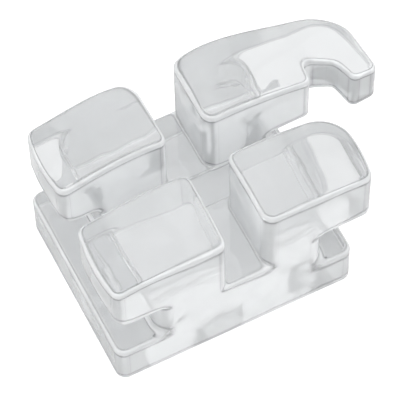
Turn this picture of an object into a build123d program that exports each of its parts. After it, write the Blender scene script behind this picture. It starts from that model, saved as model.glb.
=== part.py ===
from build123d import *
import os

# Clear one-piece twin bracket for a tooth, in millimetres.
# X runs across the archwire, towards the hooked side. Y runs along the archwire, away from
# the near end. Z runs out from the tooth. The origin is the centre of the bonded face.

# Archwire slot, for 0.022 inch wire
slot_width = 0.5588
slot_offset = 0.148
slot_floor_drop = 0.20
slot_mouth_radius = 0.07

# Bonding base
base_length = 3.51
base_width = 2.78
base_thickness = 0.70
base_corner_radius = 0.15
base_edge_radius = 0.08

# Neck that carries the wings, its reach measured from the slot's centre line
plain_neck_reach = 1.30
hooked_neck_reach = 1.16
neck_corner_radius = 0.22
neck_fillet = 0.11

# Channel across the slot, between the near and the far wings
channel_width = 0.56
channel_offset = 0.04
channel_drop = 0.04
channel_lip = 0.07

# Wings, and how far they overhang the neck
near_plain_overhang = 0.57
far_plain_overhang = 0.53
hooked_overhang = 0.67
wing_end_bulge = 0.07
wing_height = 1.15
undercut_height = 0.75
underside_rise = 0.09
plain_heel_radius = 0.32
hooked_heel_radius = 0.20
heel_margin = 0.01
wing_edge_radius = 0.08

# Upright corners of the wings and of the hook, the small ones rounder than the crown's edge
small_corner_margin = 0.03
outer_corner_radius = 0.14
eased_corner_radius = 0.17
far_corner_radius = 0.26
swept_corner_radius = 0.46

# Crowns, their shoulder and their crest set back from the slot's wall
shoulder_setback = 0.14
crest_setback = 0.47
crown_swell = 0.05

# Share of the fall from a crown's crest to the slot that lies before its shoulder
shoulder_fall_share = 0.28

# Fall of the near plain wing's crown below the top of all the crowns, along its near and its far
# edge: at the slot, at the crest and at the end
near_plain_near_slot_fall = 0.24
near_plain_near_crest_fall = 0.32
near_plain_near_end_fall = 0.47
near_plain_far_slot_fall = 0.19
near_plain_far_crest_fall = 0.10
near_plain_far_end_fall = 0.34

# The same for the far plain wing
far_plain_near_slot_fall = 0.24
far_plain_near_crest_fall = 0.17
far_plain_near_end_fall = 0.42
far_plain_far_slot_fall = 0.38
far_plain_far_crest_fall = 0.12
far_plain_far_end_fall = 0.35

# The same for the near wing of the hooked side
near_hooked_near_slot_fall = 0.17
near_hooked_near_crest_fall = 0.15
near_hooked_near_end_fall = 0.18
near_hooked_far_slot_fall = 0.16
near_hooked_far_crest_fall = 0.10
near_hooked_far_end_fall = 0.28

# The same for the far wing of the hooked side, whose end is that of the hook
far_hooked_near_slot_fall = 0.18
far_hooked_near_crest_fall = 0.20
far_hooked_near_end_fall = 0.30
far_hooked_far_slot_fall = 0.29
far_hooked_far_crest_fall = 0.02
far_hooked_far_end_fall = 0.43

# Hook, on the far wing of the hooked side
hook_root_rise = 0.41
hook_throat_length = 0.45
hook_throat_drop = 0.20
hook_bend_width = 0.455
hook_tip_width = 0.38
hook_tip_length = 0.41
hook_outer_radius = 0.57
hook_throat_radius = 0.18
hook_rise = 0.14

# How far a cutting or blank solid runs past the body
overrun = 1.0

half_width = base_width / 2
small_corner_radius = wing_edge_radius + small_corner_margin
plain_underside = base_thickness + undercut_height
hooked_underside = plain_underside + underside_rise
hook_underside = hooked_underside + hook_rise
slot_floor_height = plain_underside - slot_floor_drop
crown_top = plain_underside + wing_height
plain_slot_wall = slot_offset - slot_width / 2
hooked_slot_wall = slot_offset + slot_width / 2
near_channel_wall = channel_offset - channel_width / 2
far_channel_wall = channel_offset + channel_width / 2
plain_neck_wall = slot_offset - plain_neck_reach
hooked_neck_wall = slot_offset + hooked_neck_reach
near_plain_end = plain_neck_wall - near_plain_overhang
far_plain_end = plain_neck_wall - far_plain_overhang
hooked_wing_end = hooked_neck_wall + hooked_overhang
hook_root = far_channel_wall + hook_root_rise
hook_throat = hook_root - hook_throat_drop
hook_tip = hook_throat - hook_tip_length
hook_throat_end = hooked_wing_end + hook_throat_length
hook_end = hook_throat_end + hook_bend_width
sky = crown_top + overrun


def underside(x):
    """Height of the wings' underside, a plane that rises from the plain side to the hooked side."""
    share = (x - near_plain_end) / (hooked_wing_end - near_plain_end)
    return plain_underside + share * (hooked_underside - plain_underside)


def block(x_low, x_high, y_low, y_high, z_low, z_high):
    """A plain block between six planes."""
    centre = Location(((x_low + x_high) / 2, (y_low + y_high) / 2, (z_low + z_high) / 2))
    return centre * Box(x_high - x_low, y_high - y_low, z_high - z_low)


def round_corners(outline, corners):
    """Round some corners of a flat outline. Each corner is its place and its radius."""
    for place, radius in corners:
        vertex = outline.vertices().sort_by_distance(place)[0]
        outline = fillet(vertex, radius)
    return outline


def neck_plan():
    """Outline of the neck, flush with the base at both ends of the slot."""
    middle = (plain_neck_wall + hooked_neck_wall) / 2
    length = hooked_neck_wall - plain_neck_wall
    return Location((middle, 0)) * RectangleRounded(length, base_width, neck_corner_radius)


def near_overhang(reach_y):
    """The level of the near wings, seen along the archwire, with a rounded heel at both ends."""
    plain_end = near_plain_end - wing_end_bulge - heel_margin
    hooked_end = hooked_wing_end + wing_end_bulge + heel_margin
    plain_heel = (plain_end, -reach_y, underside(plain_end))
    hooked_heel = (hooked_end, -reach_y, underside(hooked_end))
    outline = make_face(Polyline(
        (plain_end, -reach_y, sky), plain_heel, hooked_heel, (hooked_end, -reach_y, sky), close=True,
    ))
    outline = round_corners(outline, [(plain_heel, plain_heel_radius), (hooked_heel, hooked_heel_radius)])
    return extrude(outline, amount=reach_y + channel_offset, dir=(0, 1, 0))


def far_overhang(reach_x, reach_y):
    """The level of the far wings, with a heel at the plain end, and rising under the hook."""
    plain_end = far_plain_end - wing_end_bulge - heel_margin
    plain_heel = (plain_end, channel_offset, underside(plain_end))
    outline = make_face(Polyline(
        (plain_end, channel_offset, sky),
        plain_heel,
        (hooked_wing_end, channel_offset, underside(hooked_wing_end)),
        (hook_end, channel_offset, hook_underside),
        (reach_x, channel_offset, hook_underside),
        (reach_x, channel_offset, sky),
        close=True,
    ))
    outline = round_corners(outline, [(plain_heel, plain_heel_radius)])
    return extrude(outline, amount=reach_y - channel_offset, dir=(0, 1, 0))


def waisted_blank():
    """Slabs wider than the base and the wings, joined by the neck, with a fillet all round it."""
    reach_x = hook_end + overrun
    reach_y = half_width + overrun
    lower = block(-reach_x, reach_x, -reach_y, reach_y, 0, base_thickness)
    neck = extrude(neck_plan(), amount=sky)
    blank = lower + neck + near_overhang(reach_y) + far_overhang(reach_x, reach_y)
    around_neck = [
        edge for edge in blank.edges()
        if plain_neck_wall - neck_fillet < edge.center().X < hooked_neck_wall + neck_fillet
        and abs(edge.center().Y) < half_width + neck_fillet
        and edge.bounding_box().size.Z < neck_fillet
    ]
    return fillet(around_neck, neck_fillet)


def base():
    """The bonding base, with rounded corners and a softened upper edge."""
    pad = extrude(RectangleRounded(base_length, base_width, base_corner_radius), amount=base_thickness)
    return fillet(pad.faces().sort_by(Axis.Z)[-1].edges(), base_edge_radius)


def slot_bed():
    """The middle of the neck: the slot's floor, rounded off at both mouths, and the cross channel."""
    bed = extrude(neck_plan(), amount=slot_floor_height)
    mouths = bed.faces().sort_by(Axis.Z)[-1].edges().filter_by(Axis.X)
    bed = fillet(mouths, slot_mouth_radius)
    channel = block(
        -base_length, base_length, near_channel_wall + channel_lip, far_channel_wall,
        slot_floor_height - channel_drop, slot_floor_height + overrun,
    )
    return bed - channel


def crown(side, y_low, y_high, x_end, low_falls, high_falls):
    """A solid under one wing's crown, lofted through curves along its low edge, middle and high edge."""
    x_wall = slot_offset + side * slot_width / 2
    x_slot = x_wall - side * wing_edge_radius
    x_shoulder = x_wall + side * shoulder_setback
    x_crest = x_wall + side * crest_setback
    x_far = x_end + side * wing_edge_radius
    middle_falls = [(low + high) / 2 - crown_swell for low, high in zip(low_falls, high_falls)]
    sections = []
    for y, falls in (
        (y_low - wing_edge_radius, low_falls),
        ((y_low + y_high) / 2, middle_falls),
        (y_high + wing_edge_radius, high_falls),
    ):
        z_slot, z_crest, z_end = (crown_top - fall for fall in falls)
        z_shoulder = z_crest + shoulder_fall_share * (z_slot - z_crest)
        profile = ((x_slot, z_slot), (x_shoulder, z_shoulder), (x_crest, z_crest), (x_far, z_end))
        rise = Spline(*[(x, y, z) for x, z in profile])
        rest = Polyline((x_far, y, z_end), (x_far, y, 0), (x_slot, y, 0), (x_slot, y, z_slot))
        sections.append(make_face(rise + rest))
    return loft(sections)


def wing_plan(x_slot, x_end, y_low, y_high, radii):
    """Outline of a wing with a bulging end. The radii start at the slot on the low side."""
    bulge = wing_end_bulge if x_end > x_slot else -wing_end_bulge
    corners = ((x_slot, y_low), (x_end, y_low), (x_end, y_high), (x_slot, y_high))
    a, b, c, d = corners
    end = ThreePointArc(b, (x_end + bulge, (y_low + y_high) / 2), c)
    outline = make_face(Line(a, b) + end + Line(c, d) + Line(d, a))
    return round_corners(outline, [((*corner, 0), radius) for corner, radius in zip(corners, radii)])


def hooked_wing_plan():
    """Outline of the far wing and its hook, which curls back towards the near end."""
    corners = [
        ((hooked_slot_wall, far_channel_wall, 0), eased_corner_radius),
        ((hooked_wing_end, far_channel_wall, 0), small_corner_radius),
        ((hooked_wing_end + wing_end_bulge, hook_root, 0), small_corner_radius),
        ((hook_throat_end, hook_throat, 0), hook_throat_radius),
        ((hook_end - hook_tip_width, hook_tip, 0), small_corner_radius),
        ((hook_end, hook_tip, 0), small_corner_radius),
        ((hook_end, half_width, 0), hook_outer_radius),
        ((hooked_slot_wall, half_width, 0), outer_corner_radius),
    ]
    outline = make_face(Polyline(*[place for place, _ in corners], close=True))
    return round_corners(outline, corners)


def wing(plan, cover):
    """A wing's outline run up from the base to its crown, with the edge of the crown rounded."""
    column = extrude(Location((0, 0, base_thickness)) * plan, amount=sky) & cover
    crown_face = column.faces().sort_by(Axis.Z)[-1]
    return fillet(crown_face.edges(), wing_edge_radius)


def near_plain_wing():
    plan = wing_plan(
        plain_slot_wall, near_plain_end, -half_width, near_channel_wall,
        (small_corner_radius, outer_corner_radius, outer_corner_radius, small_corner_radius),
    )
    cover = crown(
        -1, -half_width, near_channel_wall, near_plain_end - wing_end_bulge,
        (near_plain_near_slot_fall, near_plain_near_crest_fall, near_plain_near_end_fall),
        (near_plain_far_slot_fall, near_plain_far_crest_fall, near_plain_far_end_fall),
    )
    return wing(plan, cover)


def far_plain_wing():
    plan = wing_plan(
        plain_slot_wall, far_plain_end, far_channel_wall, half_width,
        (small_corner_radius, outer_corner_radius, outer_corner_radius, far_corner_radius),
    )
    cover = crown(
        -1, far_channel_wall, half_width, far_plain_end - wing_end_bulge,
        (far_plain_near_slot_fall, far_plain_near_crest_fall, far_plain_near_end_fall),
        (far_plain_far_slot_fall, far_plain_far_crest_fall, far_plain_far_end_fall),
    )
    return wing(plan, cover)


def near_hooked_wing():
    plan = wing_plan(
        hooked_slot_wall, hooked_wing_end, -half_width, near_channel_wall,
        (eased_corner_radius, outer_corner_radius, swept_corner_radius, small_corner_radius),
    )
    cover = crown(
        1, -half_width, near_channel_wall, hooked_wing_end + wing_end_bulge,
        (near_hooked_near_slot_fall, near_hooked_near_crest_fall, near_hooked_near_end_fall),
        (near_hooked_far_slot_fall, near_hooked_far_crest_fall, near_hooked_far_end_fall),
    )
    return wing(plan, cover)


def far_hooked_wing():
    cover = crown(
        1, hook_tip, half_width, hook_end,
        (far_hooked_near_slot_fall, far_hooked_near_crest_fall, far_hooked_near_end_fall),
        (far_hooked_far_slot_fall, far_hooked_far_crest_fall, far_hooked_far_end_fall),
    )
    return wing(hooked_wing_plan(), cover)


def bracket():
    """The whole bracket as one solid."""
    wings = near_plain_wing() + far_plain_wing() + near_hooked_wing() + far_hooked_wing()
    return waisted_blank() & (base() + slot_bed() + wings)


os.makedirs("parts", exist_ok=True)
export_step(bracket(), "parts/bracket.step")
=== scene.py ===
import bpy
import math
from mathutils import Matrix, Vector

# Lengths are in metres and angles in degrees. A direction is an azimuth, from -Y towards +X, and
# an elevation. The stops of a ramp are pairs of a place and a level.
MILLIMETRE = 0.001
WHITE = (1, 1, 1, 1)

# Camera, as the photograph was taken
CAMERA_DIRECTION = (-25.31, 59.585)
CAMERA_ROLL = -1.731
CAMERA_DISTANCE = 38.21 * MILLIMETRE
CAMERA_AIM = Vector((0.301, 0.313, 0.575)) * MILLIMETRE
FOCAL_PIXELS = 2810.8
PHOTO_PIXELS = 400
SENSOR_WIDTH = 36
CLIP_NEAR = 1 * MILLIMETRE
CLIP_FAR = 1000 * MILLIMETRE

# Clear body, slightly tinted and clouded by soft noise
BODY_TINT = (0.960, 0.974, 0.985, 1)
BODY_SHADE = (0.940, 0.954, 0.965, 1)
BODY_IOR = 1.65
CLOUD_SIZE = 0.9 * MILLIMETRE
CLOUD_DETAIL = 2
CLOUD_STRETCH = (1.6, 0.6, 1.0)
CLOUD_STOPS = ((0.48, 1.0), (0.62, 0.97))

# Polish, with a trace of haze and a slight ripple
POLISH = (0.02, 0.06)
HAZE_SIZE = 0.25 * MILLIMETRE
HAZE_DETAIL = 4
RIPPLE_SIZE = 0.7 * MILLIMETRE
RIPPLE_DETAIL = 1
RIPPLE_STRENGTH = 1
RIPPLE_HEIGHT = 0.025 * MILLIMETRE

# Rims, by how far the softened normal leans up or down: 0 on a wall, 1 on a level face.
# The reach of the softening varies with noise, and so does the width of the rims.
SOFT_SAMPLES = 16
RIM_REACH = (0.06 * MILLIMETRE, 0.2 * MILLIMETRE)
RIM_NOISE_SIZE = 1.1 * MILLIMETRE
RIM_NOISE_DETAIL = 1
RIM_NOISE_RANGE = (0.3, 0.7)
# Painted shade: dark lines along the rims, in place of the refraction lines of the clear edges
PAINTED_LINE_LEVEL = 0.38
PAINTED_RIM_STOPS = (
    (0.02, 1.0), (0.05, PAINTED_LINE_LEVEL), (0.11, PAINTED_LINE_LEVEL), (0.17, 1.0),
    (0.79, 1.0), (0.83, PAINTED_LINE_LEVEL), (0.87, PAINTED_LINE_LEVEL), (0.90, 1.0),
)
WALL_TRANSMISSION = 0.56
RIM_TRANSMISSION = 0.49
FACE_TRANSMISSION = 0.81
RIM_CLEARNESS = (
    (0.10, WALL_TRANSMISSION), (0.18, RIM_TRANSMISSION),
    (0.78, RIM_TRANSMISSION), (0.86, FACE_TRANSMISSION),
)

# Painted dark lines beside the upright corners, standing in for their refraction lines, by how alike the
# softened and the true normals are
CORNER_REACH = 0.16 * MILLIMETRE
PAINTED_CORNER_LEVEL = 0.45
PAINTED_CORNER_STOPS = ((0.955, 1.0), (0.97, PAINTED_CORNER_LEVEL), (0.985, PAINTED_CORNER_LEVEL), (0.997, 1.0))
UPRIGHT_LEAN = 0.02

# Painted shade on the undersides of the wings, darker than the other faces
UNDERSIDE_PAINTED_SHADE = (0.62, 0.62, 0.62, 1)
UNDERSIDE_LEAN = -0.6
UNDERSIDE_LEVEL = 0.5 * MILLIMETRE

# Floor of white paper, just under the bracket
FLOOR_SIZE = 400 * MILLIMETRE
AIR_GAP = 0.02 * MILLIMETRE
FLOOR_WHITE = (0.64, 0.64, 0.64, 1)
FLOOR_ROUGHNESS = 0.9
TOOTH_SIZE = MILLIMETRE / 3
TOOTH_DETAIL = 3
TOOTH_STRENGTH = 0.02
TOOTH_HEIGHT = 0.01 * MILLIMETRE

# Glow of the floor to the camera and through the clear body, which makes it a white background
FLOOR_GLOW = 0.60
THROUGH_GLOW = 0.32

# Studio light: the sky, from the horizon at 0 to overhead at 1, and two lamps
SKY_STOPS = ((0.0, 0.62), (0.15, 0.85), (0.70, 1.10))
SKY_LEVEL = 1.24
LAMP_DISTANCE = 60 * MILLIMETRE
LAMP_SIZE = 40 * MILLIMETRE
KEY_DIRECTION = (-45, 22)
KEY_POWER = 0.001
FILL_DIRECTION = (60, 45)
FILL_POWER = 0.002


def empty_tree(owner):
    """The node tree of a material or world, emptied."""
    owner.use_nodes = True
    owner.node_tree.nodes.clear()
    return owner.node_tree


def add_node(tree, kind, inputs=None, **settings):
    """A new node with these settings, each input linked to a socket or set to a value."""
    node = tree.nodes.new(kind)
    for name, value in settings.items():
        setattr(node, name, value)
    for place, value in (inputs or {}).items():
        if isinstance(value, bpy.types.NodeSocket):
            tree.links.new(value, node.inputs[place])
        else:
            node.inputs[place].default_value = value
    return node


def calculate(tree, operation, *values):
    """One sum on one or two values, each a socket or a number."""
    return add_node(tree, "ShaderNodeMath", dict(enumerate(values)), operation=operation).outputs["Value"]


def rescaled(tree, value, before, after):
    """A value moved from one range to another, and kept inside it."""
    ends = {"From Min": before[0], "From Max": before[1], "To Min": after[0], "To Max": after[1]}
    return add_node(tree, "ShaderNodeMapRange", {"Value": value, **ends}).outputs["Result"]


def upward(tree, vector):
    """The Z part of a vector."""
    return add_node(tree, "ShaderNodeSeparateXYZ", {"Vector": vector}).outputs["Z"]


def own_place(tree):
    """The place of a point in the object's own coordinates."""
    return add_node(tree, "ShaderNodeTexCoord").outputs["Object"]


def noise(tree, size, detail, stretch=None):
    """Noise in the object's own coordinates, with features of about this size."""
    place = own_place(tree)
    if stretch:
        place = add_node(tree, "ShaderNodeMapping", {"Vector": place, "Scale": stretch}).outputs["Vector"]
    inputs = {"Vector": place, "Scale": 1 / size, "Detail": detail}
    return add_node(tree, "ShaderNodeTexNoise", inputs).outputs["Fac"]


def relief(tree, size, detail, strength, height):
    """The normal of a surface that noise lifts a little."""
    inputs = {"Height": noise(tree, size, detail), "Strength": strength, "Distance": height}
    return add_node(tree, "ShaderNodeBump", inputs).outputs["Normal"]


def ramp_of(tree, value, stops):
    """Grey values of a ramp through these stops."""
    ramp = add_node(tree, "ShaderNodeValToRGB", {"Fac": value})
    elements = ramp.color_ramp.elements
    while len(elements) < len(stops):
        elements.new(1)
    for element, (place, level) in zip(elements, stops):
        element.position = place
        element.color = (level, level, level, 1)
    return ramp.outputs["Color"]


def blended(tree, kind, factor, colour, other):
    """Two colours mixed or multiplied, as far as the factor says."""
    inputs = {"Factor": factor, "A": colour, "B": other}
    return add_node(tree, "ShaderNodeMix", inputs, data_type="RGBA", blend_type=kind).outputs["Result"]


def softened(tree, reach):
    """The normal averaged over this reach, which turns gradually near an edge."""
    return add_node(tree, "ShaderNodeBevel", {"Radius": reach}, samples=SOFT_SAMPLES).outputs["Normal"]


def lean(tree):
    """How far the softened normal leans up or down, 0 on upright walls and 1 on level faces."""
    width = noise(tree, RIM_NOISE_SIZE, RIM_NOISE_DETAIL)
    reach = rescaled(tree, width, RIM_NOISE_RANGE, RIM_REACH)
    return calculate(tree, "ABSOLUTE", upward(tree, softened(tree, reach)))


def painted_corner_lines(tree):
    """Darker where the softened normal leaves the true one, on each side of a corner: painted lines that
    stand in for the corner's refraction lines.
    """
    true_normal = add_node(tree, "ShaderNodeNewGeometry").outputs["Normal"]
    normals = {0: softened(tree, CORNER_REACH), 1: true_normal}
    alike = add_node(tree, "ShaderNodeVectorMath", normals, operation="DOT_PRODUCT").outputs["Value"]
    return ramp_of(tree, calculate(tree, "ABSOLUTE", alike), PAINTED_CORNER_STOPS)


def painted_underside_shade(tree):
    """1 where shade is painted, on the undersides of the wings, 0 elsewhere.

    Light that meets a face from inside sees its normal turned round, so it is turned back first.
    """
    geometry = add_node(tree, "ShaderNodeNewGeometry").outputs
    turned = calculate(tree, "MULTIPLY", geometry["Backfacing"], -2)
    sign = calculate(tree, "ADD", turned, 1)
    outward = calculate(tree, "MULTIPLY", upward(tree, geometry["Normal"]), sign)
    faces_down = calculate(tree, "LESS_THAN", outward, UNDERSIDE_LEAN)
    above_base = calculate(tree, "GREATER_THAN", upward(tree, own_place(tree)), UNDERSIDE_LEVEL)
    return calculate(tree, "MULTIPLY", faces_down, above_base)


def crystal_colour(tree, slope, cloud):
    """The faint tint of the crystal, with dark lines painted along its rims and upright corners in place
    of their refraction lines, and shade painted on the undersides of the wings.
    """
    body = blended(tree, "MIX", cloud, BODY_SHADE, BODY_TINT)
    # Dark lines painted along the rims, in place of their refraction lines
    painted_rims = blended(tree, "MULTIPLY", 1.0, body, ramp_of(tree, slope, PAINTED_RIM_STOPS))
    upright = calculate(tree, "LESS_THAN", slope, UPRIGHT_LEAN)
    # Dark lines painted beside the upright corners, in place of their refraction lines
    painted_corners = blended(tree, "MULTIPLY", upright, painted_rims, painted_corner_lines(tree))
    # Shade painted on the undersides of the wings
    return blended(tree, "MULTIPLY", painted_underside_shade(tree), painted_corners, UNDERSIDE_PAINTED_SHADE)


def crystal_clearness(tree, slope, cloud):
    """How much light goes through: most on level faces, least on the rims, less in the clouds."""
    return calculate(
        tree, "MULTIPLY", ramp_of(tree, slope, RIM_CLEARNESS), ramp_of(tree, cloud, CLOUD_STOPS))


def clear_material():
    """Clear crystal with a faint milky cast, polished, with a trace of haze in its polish."""
    material = bpy.data.materials.new("clear_crystal")
    tree = empty_tree(material)
    slope = lean(tree)
    cloud = noise(tree, CLOUD_SIZE, CLOUD_DETAIL, CLOUD_STRETCH)
    crystal = add_node(tree, "ShaderNodeBsdfPrincipled", {
        "Base Color": crystal_colour(tree, slope, cloud),
        "IOR": BODY_IOR,
        "Roughness": rescaled(tree, noise(tree, HAZE_SIZE, HAZE_DETAIL), (0, 1), POLISH),
        "Transmission Weight": crystal_clearness(tree, slope, cloud),
        "Normal": relief(tree, RIPPLE_SIZE, RIPPLE_DETAIL, RIPPLE_STRENGTH, RIPPLE_HEIGHT),
    })
    add_node(tree, "ShaderNodeOutputMaterial", {"Surface": crystal.outputs["BSDF"]})
    return material


def floor_material():
    """White paper with a fine tooth, which glows to the camera and through the clear body."""
    material = bpy.data.materials.new("white_paper")
    tree = empty_tree(material)
    paper = add_node(tree, "ShaderNodeBsdfPrincipled", {
        "Base Color": FLOOR_WHITE,
        "Roughness": FLOOR_ROUGHNESS,
        "Specular IOR Level": 0,
        "Normal": relief(tree, TOOTH_SIZE, TOOTH_DETAIL, TOOTH_STRENGTH, TOOTH_HEIGHT),
    })
    rays = add_node(tree, "ShaderNodeLightPath").outputs
    direct = calculate(tree, "MULTIPLY", rays["Is Camera Ray"], FLOOR_GLOW)
    through = calculate(tree, "MULTIPLY", rays["Is Transmission Ray"], THROUGH_GLOW)
    glow = add_node(tree, "ShaderNodeEmission", {"Strength": calculate(tree, "ADD", direct, through)})
    both = add_node(tree, "ShaderNodeAddShader", {0: paper.outputs["BSDF"], 1: glow.outputs["Emission"]})
    add_node(tree, "ShaderNodeOutputMaterial", {"Surface": both.outputs["Shader"]})
    return material


def finish_body(body):
    """The CAD body keeps its shape and gets the clear material."""
    body.data.materials.clear()
    body.data.materials.append(clear_material())


def add_floor():
    """A pale floor under the bracket."""
    mesh = bpy.data.meshes.new("floor")
    half = FLOOR_SIZE / 2
    corners = [(-half, -half), (half, -half), (half, half), (-half, half)]
    mesh.from_pydata([(x, y, -AIR_GAP) for x, y in corners], [], [(0, 1, 2, 3)])
    floor = bpy.data.objects.new("floor", mesh)
    bpy.context.scene.collection.objects.link(floor)
    floor.data.materials.append(floor_material())


def add_world():
    """A white studio, a little darker towards the horizon, and plain white to the camera."""
    world = bpy.data.worlds.new("studio")
    tree = empty_tree(world)
    direction = add_node(tree, "ShaderNodeTexCoord").outputs["Generated"]
    sky_colour = ramp_of(tree, upward(tree, direction), SKY_STOPS)
    sky = add_node(tree, "ShaderNodeBackground", {"Color": sky_colour, "Strength": SKY_LEVEL})
    backdrop = add_node(tree, "ShaderNodeBackground", {"Color": WHITE})
    to_camera = add_node(tree, "ShaderNodeLightPath").outputs["Is Camera Ray"]
    inputs = {0: to_camera, 1: sky.outputs["Background"], 2: backdrop.outputs["Background"]}
    choice = add_node(tree, "ShaderNodeMixShader", inputs)
    add_node(tree, "ShaderNodeOutputWorld", {"Surface": choice.outputs["Shader"]})
    bpy.context.scene.world = world


def direction_to(azimuth, elevation):
    """Unit vector from the bracket in this direction."""
    a, e = math.radians(azimuth), math.radians(elevation)
    return Vector((math.sin(a) * math.cos(e), -math.cos(a) * math.cos(e), math.sin(e)))


def add_lamp(name, direction, power):
    """A large soft lamp that points at the bracket, and isn't seen in it."""
    light = bpy.data.lights.new(name, "AREA")
    light.shape = "DISK"
    light.size = LAMP_SIZE
    light.energy = power
    lamp = bpy.data.objects.new(name, light)
    towards = direction_to(*direction)
    lamp.location = CAMERA_AIM + towards * LAMP_DISTANCE
    lamp.rotation_euler = towards.to_track_quat("Z", "Y").to_euler()
    lamp.visible_glossy = False
    lamp.visible_transmission = False
    bpy.context.scene.collection.objects.link(lamp)


def add_camera():
    """The camera at the photograph's viewing angle."""
    back = direction_to(*CAMERA_DIRECTION)
    right = back.cross(Vector((0, 0, -1))).normalized()
    up = back.cross(right)
    roll = math.radians(CAMERA_ROLL)
    turned_right = right * math.cos(roll) + up * math.sin(roll)
    turned_up = up * math.cos(roll) - right * math.sin(roll)
    data = bpy.data.cameras.new("camera")
    data.sensor_width = SENSOR_WIDTH
    data.lens = FOCAL_PIXELS / PHOTO_PIXELS * SENSOR_WIDTH
    data.clip_start = CLIP_NEAR
    data.clip_end = CLIP_FAR
    camera = bpy.data.objects.new("camera", data)
    turn = Matrix((turned_right, turned_up, back)).transposed().to_4x4()
    camera.matrix_world = Matrix.Translation(CAMERA_AIM + back * CAMERA_DISTANCE) @ turn
    bpy.context.scene.collection.objects.link(camera)
    bpy.context.scene.camera = camera


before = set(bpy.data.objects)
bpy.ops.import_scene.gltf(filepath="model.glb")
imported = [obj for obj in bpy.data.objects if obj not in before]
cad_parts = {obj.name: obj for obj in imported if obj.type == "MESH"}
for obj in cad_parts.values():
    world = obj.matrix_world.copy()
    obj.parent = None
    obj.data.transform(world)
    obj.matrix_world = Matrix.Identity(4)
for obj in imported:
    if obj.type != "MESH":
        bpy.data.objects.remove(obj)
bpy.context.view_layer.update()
finish_body(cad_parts["bracket"])
add_floor()
add_world()
add_lamp("key", KEY_DIRECTION, KEY_POWER)
add_lamp("fill", FILL_DIRECTION, FILL_POWER)
add_camera()
bpy.context.scene.view_settings.view_transform = "Standard"
